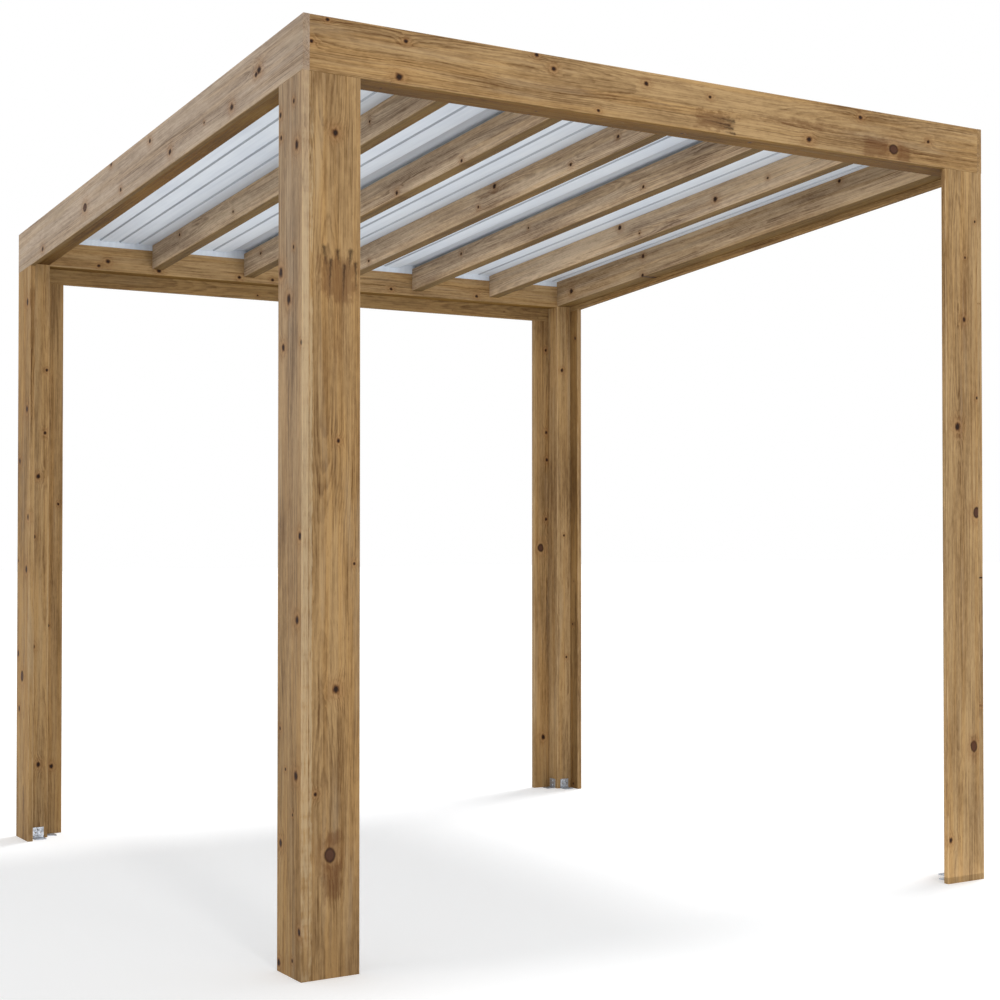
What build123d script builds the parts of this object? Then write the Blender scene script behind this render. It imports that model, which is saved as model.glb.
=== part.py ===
from build123d import *
import os

# Free standing timber pergola with a roof of ribbed steel sheets that falls to the rear.
# Millimetres. The front looks along -Y and the origin is on the ground, under the middle.

# Outside of the frame
width = 2418.0
depth = 2425.0
front_height = 2420.0
rear_height = 2211.0

# Planed boards: the four fascias, and the two boards that case each post
board_width = 144.0
board_thickness = 19.0

# Timber behind the boards
core_side = 70.0
header_thickness = 85.0
joist_thickness = 70.0
side_joist_height = 106.0
rear_joist_height = 90.0
rafter_thickness = 45.0
rafter_height = 90.0
rafter_count = 5
rafter_spacing = 375.0
rafter_offset = 46.5
eased_edge = 1.5

# Levels of the roof, measured down from the top edge of the side fascias
sheet_drop = 18.0
rear_air_gap = 13.0

# Steel sheets: flat pans between small stiffening ribs, and a wide rib at each side lap
sheet_thickness = 0.7
sheet_end_gap = 5.0
sheet_side_gap = 3.0
rib_pitch = 75.0
rib_height = 5.0
rib_base = 14.0
rib_crest = 6.0
lap_rib_height = 12.0
lap_web_run = 6.0
lap_rib_lead = 43.0
lap_gap = 0.3
lap_play = 1.5

# Steel angle brackets at the foot of each post core
bracket_leg = 40.0
bracket_width = 40.0
bracket_thickness = 3.0
bracket_bend = 4.0
anchor_hole = 11.0
screw_hole = 5.0
screw_spacing = 20.0

# Places that several pieces share
left_x, right_x = -width / 2, width / 2
front_y, rear_y = -depth / 2, depth / 2
fall = (front_height - rear_height) / depth
inner_left_x, inner_right_x = left_x + board_thickness, right_x - board_thickness
inner_front_y, inner_rear_y = front_y + board_thickness, rear_y - board_thickness
header_rear_y = inner_front_y + header_thickness
rear_joist_y = inner_rear_y - joist_thickness
rear_top = rear_height - sheet_drop - rear_air_gap
side_joist_drop = sheet_drop + side_joist_height

os.makedirs("parts", exist_ok=True)


def roof_level(y, drop=0.0):
    """Height at depth y of a line that lies drop below the side fascias' top edge."""
    return front_height - fall * (y - front_y) - drop


def save(piece, name):
    """Labels a finished piece and writes its file."""
    piece.part.label = name
    export_step(piece.part, f"parts/{name}.step")


def long_edges(piece):
    """The four long arrises of a timber."""
    return piece.edges().sort_by(SortBy.LENGTH)[-4:]


def timber(name, x, size_x, corners):
    """Timber with an outline in Y and Z, from x on and size_x wide, its long edges eased."""
    with BuildPart() as piece:
        with BuildSketch(Plane.YZ.offset(x)):
            with BuildLine():
                Polyline(*corners, close=True)
            make_face()
        extrude(amount=size_x)
        chamfer(long_edges(piece), eased_edge)
    save(piece, name)


def sloping(y_low, y_high, drop_top, drop_bottom):
    """Outline between two lines that follow the roof, with plumb ends."""
    return [
        (y_low, roof_level(y_low, drop_bottom)),
        (y_high, roof_level(y_high, drop_bottom)),
        (y_high, roof_level(y_high, drop_top)),
        (y_low, roof_level(y_low, drop_top)),
    ]


def standing(y_low, y_high, drop_top):
    """Outline from the ground up to a line that follows the roof."""
    return [
        (y_low, 0),
        (y_high, 0),
        (y_high, roof_level(y_high, drop_top)),
        (y_low, roof_level(y_low, drop_top)),
    ]


def level(y_low, y_high, bottom, top):
    """Plain rectangle in Y and Z."""
    return [(y_low, bottom), (y_high, bottom), (y_high, top), (y_low, top)]


# Fascias: the side ones slope and run the whole depth, the others fit between them
side_fascia = sloping(front_y, rear_y, 0.0, board_width)
timber("left_fascia", left_x, board_thickness, side_fascia)
timber("right_fascia", inner_right_x, board_thickness, side_fascia)

front_bottom = front_height - board_width
inner_width = inner_right_x - inner_left_x
timber(
    "front_fascia", inner_left_x, inner_width, level(front_y, inner_front_y, front_bottom, front_height)
)
timber(
    "rear_fascia", inner_left_x, inner_width, level(inner_rear_y, rear_y, rear_top - board_width, rear_top)
)

# Header behind the front fascia, its top bevelled to the fall of the roof
timber(
    "front_header",
    inner_left_x,
    inner_width,
    [
        (inner_front_y, front_bottom),
        (header_rear_y, front_bottom),
        (header_rear_y, roof_level(header_rear_y, sheet_drop)),
        (inner_front_y, roof_level(inner_front_y, sheet_drop)),
    ],
)

# Side joists behind the side fascias, and the rear joist between them
side_joist = sloping(header_rear_y, inner_rear_y, sheet_drop, side_joist_drop)
timber("left_joist", inner_left_x, joist_thickness, side_joist)
timber("right_joist", inner_right_x - joist_thickness, joist_thickness, side_joist)
timber(
    "rear_joist",
    inner_left_x + joist_thickness,
    inner_width - 2 * joist_thickness,
    level(rear_joist_y, inner_rear_y, rear_top - rear_joist_height, rear_top),
)


def rafter_centre(number):
    """Middle of a rafter across the frame, counted from 1 at the left."""
    return rafter_offset + (number - (rafter_count + 1) / 2) * rafter_spacing


rafter = sloping(header_rear_y, rear_joist_y, sheet_drop, sheet_drop + rafter_height)
for number in range(1, rafter_count + 1):
    timber(f"rafter_{number}", rafter_centre(number) - rafter_thickness / 2, rafter_thickness, rafter)


# Posts: a side board and a face board meet at the corner, with a square core in their angle
def bracket(name, core_x, core_y, outward):
    """Angle bracket whose upright leg lies on a core's face and whose foot points outward."""
    foot = Plane(origin=(core_x, core_y, 0), x_dir=outward, z_dir=outward.cross(Vector(0, 0, 1)))
    leg_face = Plane(
        origin=foot.origin + outward * bracket_thickness + Vector(0, 0, bracket_leg / 2 + bracket_thickness / 2),
        x_dir=(0, 0, 1),
        z_dir=outward,
    )
    foot_face = Plane(
        origin=foot.origin + outward * (bracket_leg / 2 + bracket_thickness / 2) + Vector(0, 0, bracket_thickness),
        x_dir=outward,
        z_dir=(0, 0, 1),
    )
    with BuildPart() as angle:
        with BuildSketch(foot):
            with BuildLine():
                FilletPolyline(
                    (0, bracket_leg),
                    (0, 0),
                    (bracket_leg, 0),
                    radius=bracket_bend,
                )
                offset(amount=bracket_thickness, side=Side.LEFT)
            make_face()
        extrude(amount=bracket_width / 2, both=True)
        with BuildSketch(leg_face):
            with GridLocations(0, screw_spacing, 1, 2):
                Circle(screw_hole / 2)
        extrude(amount=-bracket_thickness, mode=Mode.SUBTRACT)
        with BuildSketch(foot_face):
            Circle(anchor_hole / 2)
        extrude(amount=-bracket_thickness, mode=Mode.SUBTRACT)
    save(angle, name)


for side in ("left", "right"):
    on_left = side == "left"
    inward_x = 1 if on_left else -1
    side_x = left_x if on_left else inner_right_x
    face_x = inner_left_x if on_left else inner_right_x - board_width
    core_x = inner_left_x if on_left else inner_right_x - core_side
    core_inner_x = core_x + core_side if on_left else core_x
    for end in ("front", "rear"):
        in_front = end == "front"
        inward_y = 1 if in_front else -1
        side_y = front_y if in_front else rear_y - board_width
        face_y = front_y if in_front else inner_rear_y
        core_y = inner_front_y if in_front else inner_rear_y - core_side
        core_inner_y = core_y + core_side if in_front else core_y
        face_top = front_bottom if in_front else rear_top - board_width
        post = f"post_{end}_{side}"
        timber(
            f"{post}_side_board",
            side_x,
            board_thickness,
            standing(side_y, side_y + board_width, board_width),
        )
        timber(
            f"{post}_face_board", face_x, board_width, level(face_y, face_y + board_thickness, 0, face_top)
        )
        if in_front:
            core_outline = level(core_y, core_y + core_side, 0, front_bottom)
        else:
            core_outline = standing(core_y, core_y + core_side, side_joist_drop)
        timber(f"{post}_core", core_x, core_side, core_outline)
        bracket(f"bracket_{end}_{side}_across", core_inner_x, core_y + core_side / 2, Vector(inward_x, 0, 0))
        bracket(f"bracket_{end}_{side}_along", core_x + core_side / 2, core_inner_y, Vector(0, inward_y, 0))


# Roof sheets, drawn as the line of their underside across the frame
def ribs(first_x, last_x):
    """Small ribs at each pitch from first_x to last_x, as points from left to right."""
    points = []
    for number in range(round((last_x - first_x) / rib_pitch) + 1):
        x = first_x + number * rib_pitch
        points += [
            (x - rib_base / 2, 0),
            (x - rib_crest / 2, rib_height),
            (x + rib_crest / 2, rib_height),
            (x + rib_base / 2, 0),
        ]
    return points


def lap_under(middle):
    """Wide rib that ends a sheet on its right, below the next sheet."""
    half_foot = (rib_pitch + lap_web_run) / 2
    half_crest = (rib_pitch - lap_web_run) / 2
    return [
        (middle - half_foot, 0),
        (middle - half_crest, lap_rib_height),
        (middle + half_crest, lap_rib_height),
        (middle + half_foot, 0),
    ]


def lap_over(middle):
    """Half rib that starts a sheet on its left, nested over the sheet before."""
    lift = lap_rib_height + sheet_thickness + lap_gap
    half_foot = (rib_pitch + lap_web_run) / 2 + lap_play
    half_crest = (rib_pitch - lap_web_run) / 2 + lap_play
    return [
        (middle - half_crest + 2 * lap_play, lift),
        (middle + half_crest, lift),
        (middle + half_foot, 0),
    ]


def roof_sheet(name, points):
    """Bent sheet laid down the slope, from behind the front fascia to the rear."""
    y = inner_front_y + sheet_end_gap
    length = rear_y - y
    with BuildPart() as sheet:
        with BuildSketch(Plane.XZ.offset(-y)):
            with BuildLine():
                Polyline(*[(x, z + roof_level(y, sheet_drop)) for x, z in points])
                offset(amount=sheet_thickness, side=Side.LEFT, kind=Kind.INTERSECTION)
            make_face()
        extrude(amount=length, dir=(0, 1, -fall))
    save(sheet, name)


lap_1 = rafter_centre(2) - lap_rib_lead
lap_2 = rafter_centre(4) - lap_rib_lead
sheet_left_x = inner_left_x + sheet_side_gap
sheet_right_x = inner_right_x - sheet_side_gap
first_rib_gap = 1.5 * rib_pitch
ribs_left = int((lap_1 - first_rib_gap - sheet_left_x - rib_base) // rib_pitch)
ribs_right = int((sheet_right_x - rib_base - lap_2 - first_rib_gap) // rib_pitch)

roof_sheet(
    "roof_sheet_left",
    [(sheet_left_x, 0)]
    + ribs(lap_1 - first_rib_gap - ribs_left * rib_pitch, lap_1 - first_rib_gap)
    + lap_under(lap_1),
)
roof_sheet(
    "roof_sheet_middle",
    lap_over(lap_1) + ribs(lap_1 + first_rib_gap, lap_2 - first_rib_gap) + lap_under(lap_2),
)
roof_sheet(
    "roof_sheet_right",
    lap_over(lap_2)
    + ribs(lap_2 + first_rib_gap, lap_2 + first_rib_gap + ribs_right * rib_pitch)
    + [(sheet_right_x, 0)],
)
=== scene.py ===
from collections import namedtuple
from math import cos, pi, radians, sin

import bmesh
import bpy
from mathutils import Matrix, Vector
from mathutils.bvhtree import BVHTree


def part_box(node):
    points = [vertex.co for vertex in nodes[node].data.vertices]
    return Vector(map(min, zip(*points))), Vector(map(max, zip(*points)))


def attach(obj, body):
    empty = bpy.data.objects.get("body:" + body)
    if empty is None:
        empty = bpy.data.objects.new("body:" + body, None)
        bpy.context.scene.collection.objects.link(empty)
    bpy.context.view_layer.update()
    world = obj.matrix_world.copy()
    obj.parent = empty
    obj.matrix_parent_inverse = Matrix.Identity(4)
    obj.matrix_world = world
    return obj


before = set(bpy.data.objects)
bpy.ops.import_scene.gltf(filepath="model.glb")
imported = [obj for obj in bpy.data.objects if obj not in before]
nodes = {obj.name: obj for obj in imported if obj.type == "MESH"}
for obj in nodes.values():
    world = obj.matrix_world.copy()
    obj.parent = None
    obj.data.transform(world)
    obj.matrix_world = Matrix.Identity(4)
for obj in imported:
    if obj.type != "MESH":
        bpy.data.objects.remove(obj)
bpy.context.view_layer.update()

# Timber pergola, in metres. The front looks along -Y, and the roof falls to the rear.
scene = bpy.context.scene


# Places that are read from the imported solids
def corners(name):
    """Lowest and highest corner of a node."""
    low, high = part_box(name)
    return Vector(low), Vector(high)


def middle(name):
    """Middle of a node's box."""
    low, high = corners(name)
    return (low + high) / 2


# the side fascias are as wide as the front one, and higher only by the roof's fall
side_low, side_high = corners("left_fascia")
front_low, front_high = corners("front_fascia")
BOARD_WIDTH = front_high.z - front_low.z
FALL = (side_high.z - side_low.z - BOARD_WIDTH) / (side_high.y - side_low.y)

# the sheets' pans lie below the side fascias' top edge
SHEET_DROP = 0.018
SHEET_THICKNESS = 0.0007

X, Y, Z = (1, 0, 0), (0, 1, 0), (0, 0, 1)
MINUS_X, MINUS_Y = (-1, 0, 0), (0, -1, 0)
DOWN_ROOF = (0, 1, -FALL)
UP_ROOF = (0, FALL, 1)


# Camera, solved from the edges in the photograph
TILT_UP, TURN_RIGHT = 0.0165, 0.5569
camera = bpy.data.objects.new("camera", bpy.data.cameras.new("camera"))
camera.data.sensor_width = 36.0
camera.data.lens = 62.39
camera.data.clip_end = 200.0
camera.location = (-3.0726, -5.1394, 1.1270)
camera.rotation_euler = (pi / 2 + TILT_UP, 0.0, -TURN_RIGHT)
scene.collection.objects.link(camera)
scene.camera = camera
scene.view_settings.view_transform = "Standard"


# Helpers for shader nodes
class Net:
    """Adds shader nodes to a tree. Most helpers return an output socket."""

    def __init__(self, tree):
        self.tree = tree

    def feed(self, socket, value):
        """Gives an input socket a link or a plain value."""
        if isinstance(value, bpy.types.NodeSocket):
            self.tree.links.new(value, socket)
        else:
            socket.default_value = value

    def node(self, kind, ins=None, **settings):
        """New shader node. Its settings come first, because they can change its inputs."""
        new = self.tree.nodes.new("ShaderNode" + kind)
        for key, value in settings.items():
            setattr(new, key, value)
        for key, value in (ins or {}).items():
            self.feed(new.inputs[key], value)
        return new

    def put(self, kind, ins=None, out=0, **settings):
        return self.node(kind, ins, **settings).outputs[out]

    def math(self, operation, a, b=0.0, clamp=False):
        return self.put("Math", {0: a, 1: b}, operation=operation, use_clamp=clamp)

    def plus(self, a, b, clamp=False):
        return self.math("ADD", a, b, clamp)

    def minus(self, a, b):
        return self.math("SUBTRACT", a, b)

    def times(self, a, b, clamp=False):
        return self.math("MULTIPLY", a, b, clamp)

    def over(self, a, b):
        return self.math("DIVIDE", a, b)

    def least(self, a, b):
        return self.math("MINIMUM", a, b)

    def most(self, a, b):
        return self.math("MAXIMUM", a, b)

    def reach(self, a, b):
        """Length of the line to (a, b)."""
        return self.math("SQRT", self.plus(self.math("POWER", a, 2.0), self.math("POWER", b, 2.0)))

    def bell(self, x, rate):
        """1 where x is 0, fading smoothly to both sides."""
        return self.math("EXPONENT", self.times(self.math("POWER", x, 2.0), -rate))

    def vec(self, x, y, z):
        return self.put("CombineXYZ", {0: x, 1: y, 2: z})

    def split(self, v):
        """The three parts of a vector."""
        return self.node("SeparateXYZ", {0: v}).outputs

    def vmath(self, operation, a, b=(0, 0, 0), out=0):
        return self.put("VectorMath", {0: a, 1: b}, out, operation=operation)

    def dot(self, v, axis):
        return self.vmath("DOT_PRODUCT", v, tuple(axis), "Value")

    def length(self, v):
        return self.vmath("LENGTH", v, out="Value")

    def noise(self, v, scale=1.0, detail=2.0, rough=0.5):
        return self.put("TexNoise", {"Vector": v, "Scale": scale, "Detail": detail, "Roughness": rough})

    def ramp(self, x, low, high, to_low=0.0, to_high=1.0, kind="SMOOTHSTEP"):
        """Goes from to_low where x is low to to_high where it is high, and stays there beyond."""
        ends = {"From Min": low, "From Max": high, "To Min": to_low, "To Max": to_high}
        return self.put("MapRange", {"Value": x, **ends}, interpolation_type=kind)

    def band(self, x, start, full, fading, end):
        """1 where x is between full and fading, 0 before start and past end."""
        return self.times(self.ramp(x, start, full), self.ramp(x, fading, end, 1.0, 0.0))

    def mix(self, share, a, b, mode="MIX"):
        return self.put("Mix", {0: share, 6: a, 7: b}, 2, data_type="RGBA", blend_type=mode)

    def tint(self, colour, mask, strength, paint):
        """Colour with paint over it where the mask is above zero."""
        return self.mix(self.times(mask, strength), colour, paint)

    def seen(self):
        """1 for what the camera sees, itself or in a reflection, and 0 for what lights the scene."""
        path = self.node("LightPath").outputs
        return self.plus(path["Is Camera Ray"], path["Is Glossy Ray"], clamp=True)


def rgb(r, g, b):
    """Display colour, 0 to 255, as a linear colour."""
    def linear(c):
        c /= 255.0
        return c / 12.92 if c <= 0.04045 else ((c + 0.055) / 1.055) ** 2.4
    return (linear(r), linear(g), linear(b), 1.0)


WHITE = (1.0, 1.0, 1.0, 1.0)
MIDDLE_GREY = (0.5, 0.5, 0.5, 1.0)


def new_material(name):
    """Empty material, a net for its nodes and its shader."""
    material = bpy.data.materials.new(name)
    material.use_nodes = True
    tree = material.node_tree
    tree.nodes.clear()
    shader = tree.nodes.new("ShaderNodeBsdfPrincipled")
    output = tree.nodes.new("ShaderNodeOutputMaterial")
    tree.links.new(shader.outputs[0], output.inputs[0])
    return material, Net(tree), shader


def surface(n, shader, colour, roughness, height, strength, depth):
    """Gives a shader its colour and roughness, and bump of a strength and depth from a height."""
    bump = n.put("Bump", {"Strength": strength, "Distance": depth, "Height": height})
    for key, socket in (("Base Color", colour), ("Roughness", roughness), ("Normal", bump)):
        n.feed(shader.inputs[key], socket)


def wear(piece, material):
    """Makes a material the only one of a piece."""
    piece.data.materials.clear()
    piece.data.materials.append(material)


# Colours that all the boards share
YELLOWED = (1.02, 0.94, 0.79, 1.0)
DUST = rgb(178, 156, 124)
FLECK = rgb(92, 62, 36)
WEATHERED = rgb(206, 196, 184)
KNOT_HALO = rgb(126, 84, 46)
KNOT_PALE_RING = rgb(190, 158, 112)
KNOT_OUTER_RING = rgb(96, 66, 40)
KNOT_BROWN = rgb(80, 48, 27)
KNOT_LIGHT_BROWN = rgb(108, 70, 40)
KNOT_CORE = rgb(26, 14, 8)
LARGE_KNOT = rgb(80, 52, 38)
LARGE_KNOT_RIM = rgb(36, 22, 14)
BROWN_STAIN = rgb(92, 56, 30)
PALE_STAIN = rgb(184, 162, 128)
TORN_FIBRE = rgb(44, 28, 18)
WORN_ARRIS = rgb(196, 166, 126)
END_GRAIN = rgb(110, 80, 52)

# Tones of single boards: pale growth, dark growth, and painted shade, the tint that an underside's or inner
# side's colour is multiplied by
Tones = namedtuple("Tones", "early late oiled")
UNDERSIDE_SHADE = (0.47, 0.385, 0.17, 1.0)
TAN = Tones(rgb(175, 145, 103), rgb(94, 65, 36), UNDERSIDE_SHADE)
AMBER = Tones(rgb(167, 136, 94), rgb(89, 61, 33), UNDERSIDE_SHADE)
DEEP = Tones(rgb(162, 131, 90), rgb(88, 60, 32), UNDERSIDE_SHADE)
PALE = Tones(rgb(176, 155, 132), rgb(102, 79, 58), (0.38, 0.295, 0.145, 1.0))
ROSE = Tones(rgb(203, 178, 146), rgb(108, 82, 58), (0.295, 0.235, 0.115, 1.0))

# Growth: the width of a ring, and how far the pith lies from the middle of the board
RING_WIDTH = 0.0046
PITH_DEPTH = 0.052

# Knots. Each scattered one has a cell of the board to itself. Both kinds are longer along the grain.
CELL_LENGTH, CELL_WIDTH = 0.24, 0.062
SCATTERED_RADIUS = (0.0012, 0.0068)
SCATTERED_STRETCH = 1.25
PLACED_SQUEEZE = 0.82
LARGE_RADIUS = 0.0125

# Distance where no mark shows, in radii of a knot or half widths of a stroke
FAR = 60.0

# How far a board's seed moves its grain, along, across and through
SEED_SHIFT = (7.31, 3.77, 5.13)


class Grain(Net):
    """Net inside the timber group, with a point's place along, across and through its board."""

    def __init__(self, tree, place, seed):
        super().__init__(tree)
        self.along, self.across, self.through = self.split(place)
        self.shift = self.vec(*(self.times(seed, step) for step in SEED_SHIFT))

    def field(self, along, across, through, detail=2.0, rough=0.5):
        """Noise with so many waves a metre along, across and through the board."""
        stretched = self.vec(
            self.times(self.along, along), self.times(self.across, across), self.times(self.through, through)
        )
        return self.noise(self.vmath("ADD", stretched, self.shift), 1.0, detail, rough)

    def centred(self, x, size):
        """Noise that swings round zero."""
        return self.times(self.minus(x, 0.5), size)


def knot_distance(n, given):
    """How far the nearest knot is, placed or scattered, with 1 at its rim."""
    cell = n.vec(n.over(n.along, CELL_LENGTH), n.over(n.across, CELL_WIDTH), 0.0)
    flat = n.vmath("MULTIPLY", n.vmath("ADD", cell, n.shift), (1, 1, 0))
    cells = n.node("TexVoronoi", {"Vector": flat, "Scale": 1.0, "Randomness": 0.85}, voronoi_dimensions="2D")
    away = n.split(n.vmath("SUBTRACT", flat, cells.outputs["Position"]))
    lot = n.node("SeparateColor", {0: cells.outputs["Color"]}).outputs
    radius = n.ramp(lot[0], 0.35, 1.0, *SCATTERED_RADIUS, "LINEAR")
    present = n.most(n.times(given["Scatter"], n.ramp(lot[1], 0.50, 0.52)), 0.0001)
    off = n.reach(n.times(away[0], CELL_LENGTH / SCATTERED_STRETCH), n.times(away[1], CELL_WIDTH))
    scattered = n.over(off, n.times(radius, present))
    uneven = n.plus(1.0, n.centred(n.field(75, 130, 130), 0.95))
    return n.times(n.least(scattered, given["Knot"]), uneven)


def late_growth(n, seed, knot):
    """How much dark growth there is: rings round a pith that wanders, bent where they pass a knot."""
    drift = n.centred(n.field(0.9, 3.0, 3.0, 1.0), 0.060)
    rise = n.centred(n.field(1.3, 2.0, 2.0, 1.5), 0.075)
    pith_across = n.plus(drift, n.times(n.math("SINE", n.times(seed, 2.3)), 0.028))
    pith_through = n.minus(rise, PITH_DEPTH)
    rings = n.reach(n.minus(n.across, pith_across), n.minus(n.through, pith_through))
    flow = n.times(n.bell(knot, 0.13), 0.0085)
    waves = n.centred(n.field(9, 38, 38, 3.0, 0.6), 0.0064)
    ripples = n.centred(n.field(60, 260, 260, 1.0), 0.0014)
    years = n.over(n.plus(n.plus(rings, flow), n.plus(waves, ripples)), RING_WIDTH)
    dark = n.band(n.math("FRACT", years), 0.15, 0.80, 0.80, 1.0)
    lot = n.put("TexWhiteNoise", {"W": n.math("FLOOR", years)}, noise_dimensions="1D")
    return n.times(dark, n.ramp(lot, 0.0, 1.0, 0.25, 1.0, "LINEAR"))


def growth_colour(n, given, late, streaks, fibres, flecks):
    """Pale and dark growth, with threads, mottle and broad patches, and a yellow and a dusty cast."""
    threads = n.field(6.0, 330, 330, 2.0, 0.6)
    mottle = n.field(34, 105, 105, 2.0, 0.6)
    patches = n.field(1.8, 12, 12, 3.0, 0.55)
    amount = n.times(late, n.ramp(n.field(3.0, 16, 16), 0.35, 0.64, 0.10, 0.46))
    for part, weight in ((streaks, 1.25), (threads, 0.90), (mottle, 0.60), (patches, 1.50), (fibres, 0.50)):
        amount = n.plus(amount, n.centred(part, weight))
    colour = n.mix(n.plus(amount, 0.27, clamp=True), given["Early"], given["Late"])
    yellow = n.ramp(n.field(1.1, 34, 34), 0.42, 0.66, 0.0, 0.75)
    colour = n.mix(yellow, colour, n.mix(1.0, colour, YELLOWED, "MULTIPLY"))
    dusty = n.ramp(n.field(1.9, 26, 26, 3.0), 0.55, 0.74, 0.0, 0.34)
    colour = n.mix(dusty, colour, DUST)
    return n.tint(colour, flecks, 0.38, FLECK)


def bleached(n, given, colour):
    """Sun and rain take the colour out of the weather side."""
    grey = n.mix(0.50, colour, n.mix(1.0, MIDDLE_GREY, colour, "VALUE"))
    grey = n.mix(0.22, grey, WEATHERED)
    return n.mix(given["Bleach"], colour, grey)


def with_knots(n, colour, knot, inside):
    """A dark core in a brown ring, a pale and a dark ring outside it, and a warm halo."""
    colour = n.tint(colour, n.bell(knot, 0.17), 0.50, KNOT_HALO)
    colour = n.tint(colour, n.band(knot, 1.05, 1.35, 1.45, 1.95), 0.12, KNOT_PALE_RING)
    colour = n.tint(colour, n.band(knot, 1.85, 2.05, 2.10, 2.35), 0.14, KNOT_OUTER_RING)
    own_rings = n.ramp(n.math("SINE", n.times(knot, 14.0)), -1.0, 1.0)
    colour = n.tint(colour, inside, 0.82, n.mix(own_rings, KNOT_BROWN, KNOT_LIGHT_BROWN))
    return n.tint(colour, n.ramp(knot, 0.45, 0.92, 1.0, 0.0), 0.94, KNOT_CORE)


def with_large_knots(n, given, colour):
    """The large knots are flat discs in a dark rim."""
    knot = n.times(given["Big"], n.plus(1.0, n.centred(n.field(30, 45, 45, 1.0), 0.45)))
    colour = n.tint(colour, n.ramp(knot, 0.85, 1.15, 1.0, 0.0), 0.84, LARGE_KNOT)
    return n.tint(colour, n.band(knot, 0.50, 0.92, 0.95, 1.35), 0.74, LARGE_KNOT_RIM)


def with_stains(n, given, colour):
    """Brown patches, or pale ones where a stain's strength is below zero, and torn fibres."""
    ragged = n.plus(given["Stain"], n.centred(n.field(22, 190, 190, 3.0, 0.7), 1.1))
    colour = n.tint(colour, n.ramp(ragged, 0.22, 0.80), 0.55, BROWN_STAIN)
    colour = n.tint(colour, n.ramp(ragged, -0.20, -0.75), 0.62, PALE_STAIN)
    return n.tint(colour, given["Stroke"], 0.80, TORN_FIBRE)


def with_edges(n, given, colour):
    """Arrises worn pale, end grain darker, and painted shade that makes undersides and inner sides darker
    and warmer.
    """
    worn = n.times(given["Edge"], n.ramp(n.field(11, 40, 40, 3.0), 0.40, 0.62))
    colour = n.tint(colour, worn, 0.45, WORN_ARRIS)
    colour = n.tint(colour, given["End"], 0.18, END_GRAIN)
    # painted shade: undersides and inner sides are multiplied by the tones' shade tint
    return n.mix(given["Under"], colour, n.mix(1.0, colour, given["Oiled"], "MULTIPLY"))


def timber_group():
    """Planed, knotty timber, as a group of nodes that every board uses."""
    tree = bpy.data.node_groups.new("planed_timber", "ShaderNodeTree")
    inputs = {
        "Vector": ("Board",),
        "Float": ("Seed", "Knot", "Big", "Scatter", "Stain", "Stroke", "Edge", "End", "Bleach", "Under"),
        "Color": ("Early", "Late", "Oiled"),
    }
    for kind, names in inputs.items():
        for name in names:
            tree.interface.new_socket(name, in_out="INPUT", socket_type="NodeSocket" + kind)
    for name, kind in (("Color", "Color"), ("Roughness", "Float"), ("Height", "Float")):
        tree.interface.new_socket(name, in_out="OUTPUT", socket_type="NodeSocket" + kind)
    given = tree.nodes.new("NodeGroupInput").outputs
    n = Grain(tree, given["Board"], given["Seed"])

    knot = knot_distance(n, given)
    inside = n.ramp(knot, 0.70, 1.25, 1.0, 0.0)
    late = late_growth(n, given["Seed"], knot)
    streaks = n.field(2.6, 120, 120, 3.0, 0.62)
    fibres = n.field(16, 520, 520, 2.0, 0.6)
    flecks = n.ramp(n.field(52, 620, 620, 1.0), 0.66, 0.74)

    colour = growth_colour(n, given, late, streaks, fibres, flecks)
    colour = bleached(n, given, colour)
    colour = with_knots(n, colour, knot, inside)
    colour = with_large_knots(n, given, colour)
    colour = with_stains(n, given, colour)
    colour = with_edges(n, given, colour)
    rough = n.ramp(n.plus(late, n.centred(fibres, 0.6)), 0.0, 1.0, 0.80, 0.62)
    rough = n.minus(rough, n.times(inside, 0.12))
    height = n.plus(n.times(streaks, 0.50), n.times(fibres, 0.45))
    height = n.minus(height, n.times(flecks, 0.35))

    result = tree.nodes.new("NodeGroupOutput").inputs
    for name, socket in (("Color", colour), ("Roughness", rough), ("Height", height)):
        tree.links.new(socket, result[name])
    return tree
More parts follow.
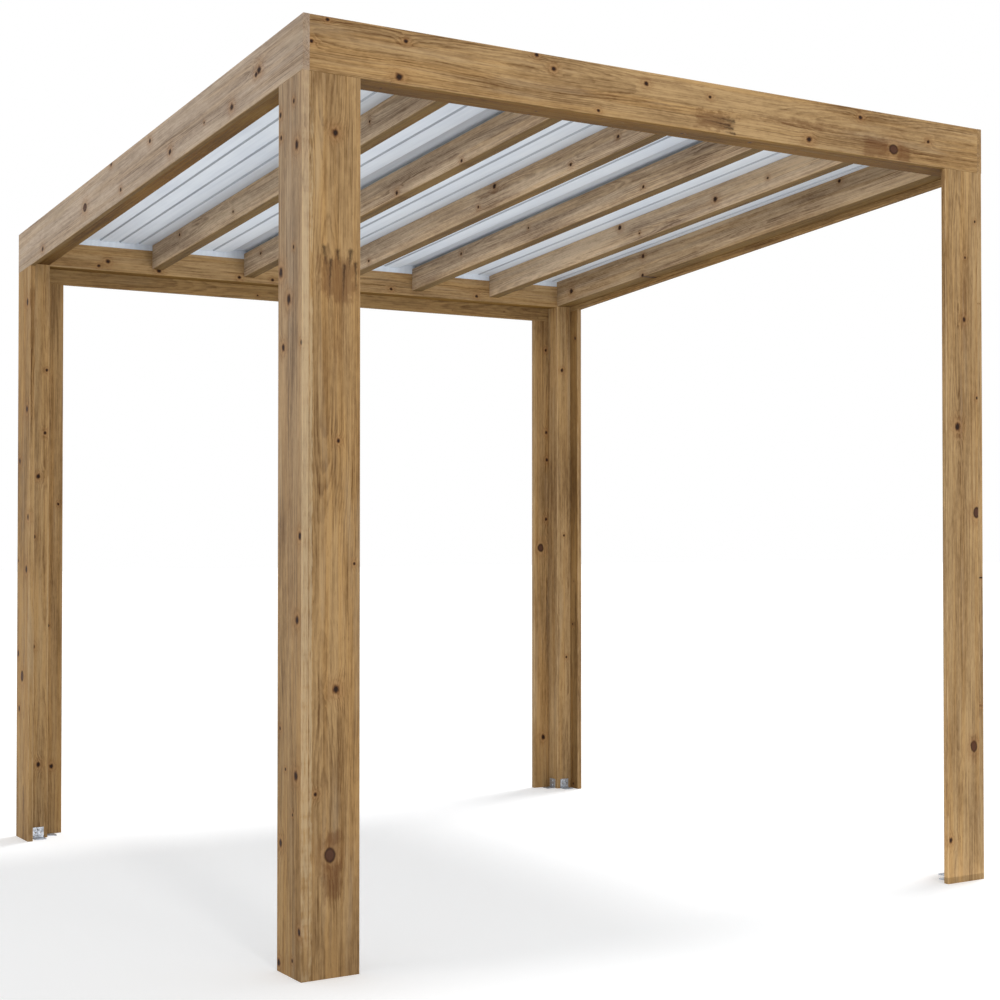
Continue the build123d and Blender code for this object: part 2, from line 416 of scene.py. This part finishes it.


# Knots that the photograph shows: along and across from the board's middle, radius
KNOTS = {
    "front_fascia": (
        (-0.915, 0.042, 0.006), (-0.935, -0.053, 0.010), (-1.185, 0.003, 0.005), (-1.14, 0.064, 0.005),
        (-0.455, 0.036, 0.007), (-0.14, 0.038, 0.007), (0.09, 0.03, 0.005), (-0.305, -0.06, 0.005),
        (0.47, -0.048, 0.009), (0.68, 0.045, 0.007), (0.97, 0.004, 0.006), (0.82, -0.038, 0.014),
        (-0.51, 0.066, 0.006),
    ),
    "left_fascia": (
        (-0.95, 0.010, 0.011), (-0.93, 0.004, 0.008), (-0.765, -0.035, 0.010), (-0.145, 0.045, 0.008),
        (-0.305, -0.033, 0.009), (0.465, -0.010, 0.013), (0.12, -0.038, 0.007), (0.93, -0.045, 0.009),
        (0.20, 0.066, 0.008), (-0.57, -0.022, 0.004),
    ),
    "post_front_left_face_board": (
        (-0.83, -0.012, 0.014), (-0.675, -0.053, 0.005), (-0.415, 0.004, 0.010), (-0.10, 0.055, 0.004),
        (0.21, 0.010, 0.005), (0.99, 0.0, 0.009),
    ),
    "post_front_left_side_board": (
        (-1.115, 0.060, 0.009), (-1.095, -0.020, 0.005), (-1.015, -0.060, 0.009), (-0.81, 0.050, 0.009),
        (-0.73, -0.020, 0.004), (-0.63, -0.040, 0.011), (-0.62, 0.022, 0.004), (-0.52, 0.055, 0.005),
        (-0.24, -0.045, 0.010), (-0.03, -0.060, 0.009), (0.45, 0.040, 0.009), (0.57, 0.008, 0.012),
        (0.645, 0.055, 0.012), (0.70, -0.020, 0.005), (0.955, -0.038, 0.011), (0.99, 0.055, 0.006),
        (1.05, 0.060, 0.007), (1.07, -0.020, 0.006), (0.455, -0.066, 0.006),
    ),
    "post_front_right_face_board": (
        (-1.0, -0.060, 0.008), (-0.71, 0.045, 0.013), (0.04, 0.062, 0.013), (0.315, -0.022, 0.012),
        (0.66, 0.010, 0.008), (0.86, 0.015, 0.004), (0.41, 0.066, 0.005), (0.98, 0.060, 0.004),
    ),
    "post_rear_left_side_board": (
        (-0.57, 0.040, 0.010), (-0.45, 0.005, 0.014), (-0.37, 0.055, 0.011), (-0.06, -0.040, 0.012),
        (0.13, -0.058, 0.010), (0.335, 0.045, 0.010), (0.52, -0.040, 0.012), (0.91, -0.040, 0.012),
        (-0.03, 0.060, 0.005),
    ),
    "post_rear_left_face_board": (
        (-0.77, 0.033, 0.008), (0.67, 0.012, 0.006), (0.20, 0.055, 0.005), (-0.25, 0.02, 0.004),
    ),
    "post_rear_left_core": (
        (-0.78, 0.0, 0.008), (-0.35, -0.022, 0.008), (0.05, -0.020, 0.006), (0.27, -0.005, 0.008),
        (0.43, 0.020, 0.006), (0.66, 0.025, 0.005), (0.83, -0.025, 0.005),
    ),
    "post_rear_right_face_board": (
        (-0.80, -0.025, 0.010), (0.025, -0.038, 0.013), (0.15, -0.010, 0.007), (0.41, -0.006, 0.007),
        (0.53, -0.010, 0.007), (0.89, -0.012, 0.006),
    ),
    "post_rear_right_core": ((0.77, -0.010, 0.007), (0.05, 0.0, 0.005), (-0.48, 0.012, 0.005)),
    "right_joist": (
        (-0.695, 0.040, 0.007), (0.455, 0.028, 0.009), (0.465, -0.048, 0.008), (0.975, -0.010, 0.011),
    ),
    "rear_joist": (
        (-0.90, -0.010, 0.008), (-0.935, -0.028, 0.006), (-0.70, -0.028, 0.008), (-0.37, -0.028, 0.007),
        (-0.23, -0.028, 0.006), (0.30, -0.025, 0.006), (0.71, -0.025, 0.007),
    ),
    "rafter_1": ((-0.66, 0.010, 0.005), (0.35, -0.012, 0.005), (0.84, 0.022, 0.006)),
    "rafter_2": ((-0.13, -0.030, 0.008), (-0.55, -0.035, 0.006), (0.96, 0.012, 0.006)),
    "rafter_3": (
        (-0.14, 0.030, 0.010), (-0.60, -0.018, 0.006), (-0.03, -0.015, 0.006), (-0.86, 0.0, 0.006),
        (0.79, -0.025, 0.006),
    ),
    "rafter_4": ((0.23, 0.008, 0.005), (-0.48, -0.020, 0.006), (0.72, 0.020, 0.006)),
    "rafter_5": ((-0.40, -0.003, 0.010), (-0.68, 0.0, 0.005), (0.17, 0.030, 0.010), (0.05, -0.020, 0.004)),
}

# Stains: along and across, half their length and width, and strength
STAINS = {
    "front_fascia": (
        (0.746, -0.040, 0.046, 0.026, 0.80), (0.864, -0.050, 0.024, 0.024, 0.95),
        (0.100, -0.036, 0.075, 0.030, 0.84), (0.88, 0.0, 0.60, 0.12, 0.31),
        (0.40, -0.005, 0.20, 0.012, 0.40), (-0.10, 0.052, 0.16, 0.006, 0.50),
        (-0.30, -0.012, 0.30, 0.007, 0.42),
    ),
    "post_front_left_face_board": (
        (-0.790, -0.002, 0.026, 0.026, 0.66), (-0.895, -0.004, 0.055, 0.030, 0.78),
        (0.625, 0.010, 0.055, 0.075, 0.66), (0.52, 0.012, 0.15, 0.036, 0.42),
        (0.0, -0.067, 1.2, 0.006, -0.62),
    ),
    "post_front_left_side_board": ((0.0, -0.0705, 1.2, 0.003, -0.62), (-0.1, 0.0, 0.30, 0.022, 0.40)),
    "post_front_right_face_board": ((0.70, 0.010, 0.22, 0.024, 0.42), (-0.72, 0.045, 0.06, 0.016, 0.6)),
    "rafter_3": ((-0.12, 0.012, 0.12, 0.012, 0.6),),
    "rafter_4": ((0.45, -0.004, 0.34, 0.008, 0.5),),
    "right_joist": ((0.20, 0.030, 0.60, 0.008, 0.55),),
}

# Torn fibres: a line's start and end, each along and across, and half its width
STROKES = {
    "front_fascia": (
        (((0.178, -0.030), (0.040, -0.022)), 0.0092), (((0.163, -0.044), (0.010, -0.034)), 0.0060),
        (((0.174, -0.052), (0.085, -0.047)), 0.0066), (((0.181, -0.066), (0.125, -0.062)), 0.0074),
    ),
    "post_front_left_face_board": (
        (((0.697, -0.031), (0.610, -0.019)), 0.0110), (((0.666, -0.012), (0.530, -0.018)), 0.0066),
        (((0.690, 0.007), (0.642, 0.013)), 0.0088), (((0.654, 0.026), (0.515, 0.019)), 0.0074),
        (((0.692, 0.044), (0.612, 0.035)), 0.0108), (((0.662, 0.058), (0.555, 0.061)), 0.0066),
    ),
}

def nearest_knots(n, face, knots):
    """How far the nearest knot and the nearest large one are, each with 1 at its rim."""
    nearest, nearest_large = FAR, FAR
    for along, across, radius in knots:
        away = n.vmath("SUBTRACT", face, (along, across, 0.0))
        off = n.length(n.vmath("MULTIPLY", away, (PLACED_SQUEEZE / radius, 1.0 / radius, 0.0)))
        nearest = n.least(nearest, off)
        if radius >= LARGE_RADIUS:
            nearest_large = n.least(nearest_large, off)
    return nearest, nearest_large


def stain_marks(n, face, stains):
    """Strength of the stains at a point, each one an oblong with a frayed edge."""
    if not stains:
        return 0.0
    marks = 0.0
    fray = n.minus(n.noise(n.vmath("MULTIPLY", face, (38.0, 60.0, 0.0)), 1.0, 2.0, 0.6), 0.5)
    for along, across, half_along, half_across, strength in stains:
        away = n.vmath("SUBTRACT", face, (along, across, 0.0))
        off = n.vmath("ABSOLUTE", n.vmath("MULTIPLY", away, (1.0 / half_along, 1.0 / half_across, 0.0)))
        off_along, off_across, _ = n.split(off)
        inside = n.ramp(n.plus(n.most(off_along, off_across), fray), 0.35, 1.45, 1.0, 0.0)
        marks = n.plus(marks, n.times(inside, strength))
    return marks


def stroke_marks(n, face, strokes):
    """Torn fibres as lines that fade from their start on, with a torn edge."""
    if not strokes:
        return 0.0
    nearest = FAR
    for (start, end), half_width in strokes:
        run = Vector((*end, 0.0)) - Vector((*start, 0.0))
        away = n.vmath("SUBTRACT", face, (*start, 0.0))
        share = n.times(n.dot(away, run / run.length_squared), 1.0, clamp=True)
        on_line = n.vmath("MULTIPLY", n.vec(share, share, share), tuple(run))
        gap = n.length(n.vmath("SUBTRACT", away, on_line))
        nearest = n.least(nearest, n.plus(n.over(gap, half_width), share))
    torn = n.noise(n.vmath("MULTIPLY", face, (90.0, 300.0, 0.0)), 1.0, 2.0, 0.6)
    return n.ramp(n.plus(nearest, n.times(torn, 1.3)), 0.60, 1.75, 1.0, 0.0)


def half_across(size, axis):
    """Half a timber's size along an axis across its grain. A sloping one's box is higher by its fall."""
    return abs(size.x * axis.x - size.y * axis.y + size.z * axis.z) / 2


def board(name, along, across, tones, seed, bleach=(0.0, 0.0), inward=None, oil=0.42, worn=True):
    """Material for one board.

    Bleach is how much it has greyed at its low and at its high end. Its underside gets the tones'
    painted shade in full. Inward is the way to its inner side, and the next argument is how much
    of that painted shade this side gets. Worn says whether its arrises are worn.
    """
    low, high = corners(name)
    size = high - low
    along, across = Vector(along).normalized(), Vector(across).normalized()
    through = along.cross(across)
    material, n, shader = new_material("wood_" + name)
    place = n.vmath("SUBTRACT", n.put("TexCoord", out="Object"), tuple(middle(name)))
    on_along, on_across, on_through = (n.dot(place, axis) for axis in (along, across, through))
    face = n.vec(on_along, on_across, 0.0)
    knots = KNOTS.get(name, ())
    nearest, nearest_large = nearest_knots(n, face, knots)

    edge = 0.0
    if worn:
        in_across = n.minus(half_across(size, across), n.math("ABSOLUTE", on_across))
        in_through = n.minus(half_across(size, through), n.math("ABSOLUTE", on_through))
        edge = n.ramp(n.most(in_across, in_through), 0.0005, 0.0045, 1.0, 0.0)
    normal = n.put("NewGeometry", out="Normal")
    end = n.ramp(n.math("ABSOLUTE", n.dot(normal, along)), 0.70, 0.85)
    # painted shade: the underside, and the inner side where inward is given, take the tones' shade tint
    under = n.ramp(n.split(normal)[2], -0.5, -0.9)
    if inward:
        under = n.most(under, n.ramp(n.dot(normal, inward), 0.7, 0.9, 0.0, oil))
    half_length = size.dot(Vector([abs(part) for part in along])) / 2

    group = n.node(
        "Group",
        {
            "Board": n.vec(on_along, on_across, on_through),
            "Seed": seed,
            "Knot": nearest,
            "Big": nearest_large,
            "Scatter": 0.0 if knots else 1.0,
            "Stain": stain_marks(n, face, STAINS.get(name, ())),
            "Stroke": stroke_marks(n, face, STROKES.get(name, ())),
            "Edge": edge,
            "End": end,
            "Bleach": n.ramp(on_along, -half_length, half_length, *bleach),
            "Under": under,
            "Early": tones.early,
            "Late": tones.late,
            "Oiled": tones.oiled,
        },
        node_tree=timber,
    ).outputs
    surface(n, shader, group["Color"], group["Roughness"], group["Height"], strength=0.55, depth=0.0009)
    shader.inputs["Specular IOR Level"].default_value = 0.12
    wear(nodes[name], material)


timber = timber_group()
board("front_fascia", X, Z, TAN, 1.0, inward=Y)
board("rear_fascia", X, Z, TAN, 2.0, inward=MINUS_Y)
board("left_fascia", DOWN_ROOF, UP_ROOF, PALE, 3.0, bleach=(0.28, 0.28), inward=X)
board("right_fascia", DOWN_ROOF, UP_ROOF, TAN, 4.0, inward=MINUS_X)
board("front_header", X, Y, DEEP, 5.0, worn=False)
board("rear_joist", X, Z, TAN, 6.0)
board("left_joist", DOWN_ROOF, UP_ROOF, DEEP, 7.0)
board("right_joist", DOWN_ROOF, UP_ROOF, ROSE, 8.0, inward=MINUS_X, oil=0.25)
rafters = [f"rafter_{number}" for number in range(1, 6)]
for number, name in enumerate(rafters):
    board(name, DOWN_ROOF, UP_ROOF, ROSE, 9.0 + number, bleach=(0.15, 0.15))
for number, corner in enumerate(("front_left", "front_right", "rear_left", "rear_right")):
    post = "post_" + corner
    seed = 20.0 + 3 * number
    tones = TAN if corner == "front_right" else AMBER
    top_bleach = 0.32 if corner == "front_left" else 0.0
    across_inward = X if "left" in corner else MINUS_X
    along_inward = Y if "front" in corner else MINUS_Y
    board(post + "_side_board", Z, Y, tones, seed, (0.0, top_bleach), across_inward, oil=0.55)
    board(post + "_face_board", Z, X, tones, seed + 1, inward=along_inward, oil=0.12)
    board(post + "_core", Z, X, TAN, seed + 2)


# Roof sheets and brackets. The wide ribs' left webs stand to the left of two rafters' middles.
LAP_WEB_ASIDE = 0.0775
# how far the painted shade in a wide rib reaches from its left web
SHEET_SHADE_REACH = 0.048
COAT = rgb(220, 228, 237)
DUSTY_COAT = rgb(200, 209, 221)
SPECK = rgb(150, 153, 158)
# colour of the painted shade on the sheets' underside
SHEET_SHADE_COLOUR = rgb(96, 99, 108)
DARK_ZINC = rgb(142, 147, 156)
BRIGHT_ZINC = rgb(196, 201, 208)
DULL_ZINC = rgb(118, 120, 122)


def sheet_material():
    """Off-white coated steel: dust in runs down the slope, specks, a soft sheen, and painted shade on the
    underside's webs and in its hollows.
    """
    material, n, shader = new_material("coated_sheet")
    place = n.put("TexCoord", out="Object")
    runs = n.noise(n.vmath("MULTIPLY", place, (70, 1.5, 20)), 1.0, 3.0, 0.6)
    clouds = n.noise(n.vmath("MULTIPLY", place, (3, 2, 3)), 1.0, 3.0, 0.55)
    specks = n.ramp(n.noise(place, 900.0, 1.0), 0.60, 0.74)
    dust = n.ramp(n.plus(n.times(runs, 0.5), n.times(clouds, 0.6)), 0.35, 0.80)
    colour = n.mix(dust, COAT, DUSTY_COAT)
    colour = n.tint(colour, specks, 0.12, SPECK)

    # painted shade on the underside, on the ribs' webs and in the wide ribs, darkest by their left web
    x, y, z = n.split(place)
    slope = n.minus(n.times(n.plus(y, -side_low.y), FALL), side_high.z - SHEET_DROP)
    above_pan = n.plus(z, slope)
    lean, _, facing_up = n.split(n.put("NewGeometry", out="Normal"))
    underside = n.ramp(facing_up, 0.05, -0.05)
    web = n.ramp(n.math("ABSOLUTE", lean), 0.10, 0.60)
    lap_webs = [middle(name).x - LAP_WEB_ASIDE for name in ("rafter_2", "rafter_4")]
    from_web = n.least(*(n.math("ABSOLUTE", n.minus(x, lap_web)) for lap_web in lap_webs))
    hollow = n.times(n.ramp(above_pan, 0.007, 0.011), n.ramp(from_web, 0.0, SHEET_SHADE_REACH, 0.42, 0.04))
    sheet_shade = n.times(n.most(n.times(web, 0.55), hollow), underside)
    sheet_shade = n.times(sheet_shade, n.ramp(runs, 0.2, 0.7, 0.8, 1.0))
    colour = n.mix(sheet_shade, colour, SHEET_SHADE_COLOUR)
    rough = n.ramp(clouds, 0.3, 0.7, 0.36, 0.50)
    surface(n, shader, colour, rough, n.noise(place, 420.0), strength=0.25, depth=0.0002)
    return material


def zinc_material():
    """Galvanised steel: crystals of zinc and a few dull spots."""
    material, n, shader = new_material("zinc_steel")
    place = n.put("TexCoord", out="Object")
    crystals = n.put("TexVoronoi", {"Vector": place, "Scale": 260.0}, "Color")
    dull = n.noise(place, 90.0, 3.0, 0.6)
    colour = n.mix(n.put("SeparateColor", {0: crystals}), DARK_ZINC, BRIGHT_ZINC)
    colour = n.mix(n.ramp(dull, 0.52, 0.72, 0.0, 0.60), colour, DULL_ZINC)
    rough = n.ramp(dull, 0.3, 0.75, 0.34, 0.58)
    surface(n, shader, colour, rough, dull, strength=0.3, depth=0.0002)
    shader.inputs["Metallic"].default_value = 0.75
    return material


sheet_paint = sheet_material()
zinc = zinc_material()
for name, node in nodes.items():
    if name.startswith("roof_sheet"):
        wear(node, sheet_paint)
    if name.startswith("bracket"):
        wear(node, zinc)


# Pieces of the scene's own
def loft(mesh, loops):
    """Closed skin over rings of as many points each."""
    for lower, upper in zip(loops, loops[1:]):
        for step in range(len(lower)):
            after = (step + 1) % len(lower)
            mesh.faces.new((lower[step], lower[after], upper[after], upper[step]))
    mesh.faces.new(reversed(loops[0]))
    mesh.faces.new(loops[-1])


def new_piece(name, mesh, material):
    """Object with a finished mesh and its material."""
    data = bpy.data.meshes.new(name)
    mesh.to_mesh(data)
    mesh.free()
    piece = bpy.data.objects.new(name, data)
    scene.collection.objects.link(piece)
    wear(piece, material)
    return piece


# Closure bar between the rear joist and the roof sheets
CLOSURE_SETBACK = 0.002
CLOSURE_DEPTH = 0.012
CLOSURE_STEP = 0.0015
CLOSURE_PLAY = 0.0003


def sheet_trees():
    """The roof sheets, ready for rays."""
    trees = []
    for name, node in nodes.items():
        if name.startswith("roof_sheet"):
            points = [node.matrix_world @ vertex.co for vertex in node.data.vertices]
            faces = [list(polygon.vertices) for polygon in node.data.polygons]
            trees.append(BVHTree.FromPolygons(points, faces))
    return trees


def closure(name):
    """Bar that stands on the rear joist and fills the sheets' profile, but for a little play."""
    sheets = sheet_trees()
    low, high = corners("rear_joist")
    front = low.y + CLOSURE_SETBACK
    rear = front + CLOSURE_DEPTH
    steps = round((high.x - low.x) / CLOSURE_STEP)
    length = high.x - low.x - 2 * CLOSURE_PLAY

    def underside(x, y):
        """Height of the lowest sheet over a point of the joist."""
        hits = [sheet.ray_cast(Vector((x, y, high.z)), Vector(Z))[0] for sheet in sheets]
        return min(hit.z for hit in hits if hit)

    mesh = bmesh.new()
    outlines = []
    for step in range(steps + 1):
        x = low.x + CLOSURE_PLAY + length * step / steps
        outline = (
            (front, high.z),
            (front, underside(x, front) - CLOSURE_PLAY),
            (rear, underside(x, rear) - CLOSURE_PLAY),
            (rear, high.z),
        )
        outlines.append([mesh.verts.new((x, y, z)) for y, z in outline])
    loft(mesh, outlines)
    bmesh.ops.recalc_face_normals(mesh, faces=mesh.faces)
    piece = new_piece(name, mesh, sheet_paint)
    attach(piece, "root")


closure("roof_closure")


# Screw heads, as rings from the seat up: height, radius and outline
SIDES = 24
HEX_HALF = 0.004
STAR_WAVE = 0.16
SHARP_ANGLE = radians(32)
ROOF_SCREW = (
    (0.0, 0.0074, "round"), (0.0010, 0.0076, "round"), (0.0016, 0.0070, "round"),
    (0.0017, 0.0054, "round"), (0.0025, 0.0051, "round"), (0.0026, HEX_HALF, "hex"),
    (0.0060, HEX_HALF, "hex"), (0.0066, 0.0034, "round"),
)
BRACKET_SCREW = (
    (0.0, 0.0045, "round"), (0.0006, 0.0045, "round"), (0.0015, 0.0040, "round"),
    (0.0021, 0.0031, "round"), (0.0023, 0.0020, "star"), (0.0012, 0.0016, "star"),
)

# Places of the roof screws. The first row is over the header, and the others are given.
ROOF_ROWS = (-0.600, -0.050, 0.500, 1.050)
SIDE_SCREW_X = 1.140
RAFTER_SCREW_ASIDE = 0.012

# Holes in a bracket's upright leg
BRACKET_THICKNESS = 0.003
LEG_HOLES = (0.0115, 0.0315)

# No two neighbouring heads are turned alike: radians from column to column, row to row, and per metre up
COLUMN_TURN, ROW_TURN, LEG_TURN = 0.7, 1.3, 40


def ring_radius(outline, radius, angle):
    """Distance from a head's axis to its outline at an angle."""
    if outline == "hex":
        return radius / cos((angle % (pi / 3)) - pi / 6)
    if outline == "star":
        return radius * (1.0 + STAR_WAVE * cos(6 * angle))
    return radius


def screw_heads(name, rings, seats):
    """One piece with a closed head on each seat."""
    mesh = bmesh.new()
    for place in seats:
        loops = []
        for height, radius, outline in rings:
            loop = []
            for step in range(SIDES):
                angle = 2 * pi * step / SIDES
                r = ring_radius(outline, radius, angle)
                loop.append(mesh.verts.new(place @ Vector((r * cos(angle), r * sin(angle), height))))
            loops.append(loop)
        loft(mesh, loops)
    piece = new_piece(name, mesh, zinc)
    piece.data.shade_smooth()
    piece.data.set_sharp_from_angle(angle=SHARP_ANGLE)
    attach(piece, "root")


def seat(place, up, turn):
    """Where a head sits: its origin, its axis, and its turn round that axis."""
    upright = up.to_track_quat("Z", "Y").to_matrix().to_4x4()
    return Matrix.Translation(place) @ upright @ Matrix.Rotation(turn, 4, "Z")


def roof_seats():
    """Rows of screws over the side joists and beside the middle of each rafter."""
    lines = [middle(name).x + RAFTER_SCREW_ASIDE for name in rafters]
    rows = (middle("front_header").y, *ROOF_ROWS)
    up = Vector(UP_ROOF).normalized()
    seats = []
    for column, x in enumerate((-SIDE_SCREW_X, *lines, SIDE_SCREW_X)):
        for row, y in enumerate(rows):
            pan = side_high.z - FALL * (y - side_low.y) - SHEET_DROP
            top = Vector((x, y, pan + SHEET_THICKNESS))
            seats.append(seat(top, up, COLUMN_TURN * column + ROW_TURN * row))
    return seats


def bracket_seats():
    """Two screws in the upright leg of each bracket, which is the leg away from the middle."""
    seats = []
    for name in nodes:
        if not name.startswith("bracket"):
            continue
        low, high = corners(name)
        place = middle(name)
        axis = 0 if name.endswith("across") else 1
        out = Vector((0, 0, 0))
        out[axis] = -1.0 if place[axis] > 0 else 1.0
        leg = low if out[axis] > 0 else high
        place[axis] = leg[axis] + out[axis] * BRACKET_THICKNESS
        for height in LEG_HOLES:
            place.z = height
            seats.append(seat(place.copy(), out, LEG_TURN * height))
    return seats


screw_heads("roof_screws", ROOF_SCREW, roof_seats())
screw_heads("bracket_screws", BRACKET_SCREW, bracket_seats())


# Floor, background and lamps
FLOOR_HALF = 40.0
FLOOR_PAINT = (0.80, 0.80, 0.80, 1.0)
FLOOR_LIFT = 0.345
DAYLIGHT = (0.97, 0.985, 1.0, 1.0)
WARM_WHITE = (1.0, 0.98, 0.95)


def make_floor():
    """White floor with a matt shader that keeps the shadow, seen a little brighter than it is."""
    data = bpy.data.meshes.new("floor")
    ends = ((-1, -1), (1, -1), (1, 1), (-1, 1))
    data.from_pydata([(FLOOR_HALF * x, FLOOR_HALF * y, 0) for x, y in ends], [], [(0, 1, 2, 3)])
    piece = bpy.data.objects.new("floor", data)
    scene.collection.objects.link(piece)
    material, n, shader = new_material("floor_paint")
    shader.inputs["Base Color"].default_value = FLOOR_PAINT
    shader.inputs["Roughness"].default_value = 0.9
    shader.inputs["Specular IOR Level"].default_value = 0.1
    lift = n.put("Emission", {"Color": WHITE, "Strength": n.times(n.seen(), FLOOR_LIFT)})
    both = n.put("AddShader", {0: shader.outputs[0], 1: lift})
    n.feed(material.node_tree.get_output_node("ALL").inputs["Surface"], both)
    wear(piece, material)
    return piece


def light_world():
    """Soft daylight from all sides, and plain white behind the object."""
    world = bpy.data.worlds.new("studio")
    scene.world = world
    world.use_nodes = True
    world.node_tree.nodes.clear()
    n = Net(world.node_tree)
    daylight = n.put("Background", {"Color": DAYLIGHT, "Strength": 0.60})
    plain = n.put("Background", {"Color": WHITE, "Strength": 1.0})
    n.node("OutputWorld", {"Surface": n.put("MixShader", {0: n.seen(), 1: daylight, 2: plain})})


def lamp(name, kind, place, target, size, power, colour=WHITE[:3]):
    """Lamp that looks from its place at a target. A sun's size is its angle, a softbox's its width."""
    light = bpy.data.objects.new(name, bpy.data.lights.new(name, kind))
    light.data.energy = power
    light.data.color = colour
    if kind == "SUN":
        light.data.angle = size
    else:
        light.data.shape = "DISK"
        light.data.size = size
    light.location = place
    light.rotation_euler = (Vector(target) - Vector(place)).to_track_quat("-Z", "Y").to_euler()
    light.visible_camera = False
    scene.collection.objects.link(light)


floor = make_floor()
light_world()
lamp("left_softbox", "AREA", (-13.0, 1.5, 0.6), (0, 0, 1.5), size=3.0, power=590, colour=(1.0, 0.99, 0.97))
lamp("front_softbox", "AREA", (1.5, -13.0, 0.6), (0, 0, 1.3), size=3.0, power=400, colour=WARM_WHITE)
lamp("front_key", "AREA", (-2.5, -12.0, 4.0), (0, 0, 1.3), size=1.6, power=270, colour=WARM_WHITE)
lamp("top_light", "SUN", (3.2, 1.0, 7.0), (0, 0, 0), size=radians(17), power=1.5)
lamp("floor_fill", "AREA", (0.3, -0.3, 0.02), (0.3, -0.3, 3.0), size=2.6, power=14)
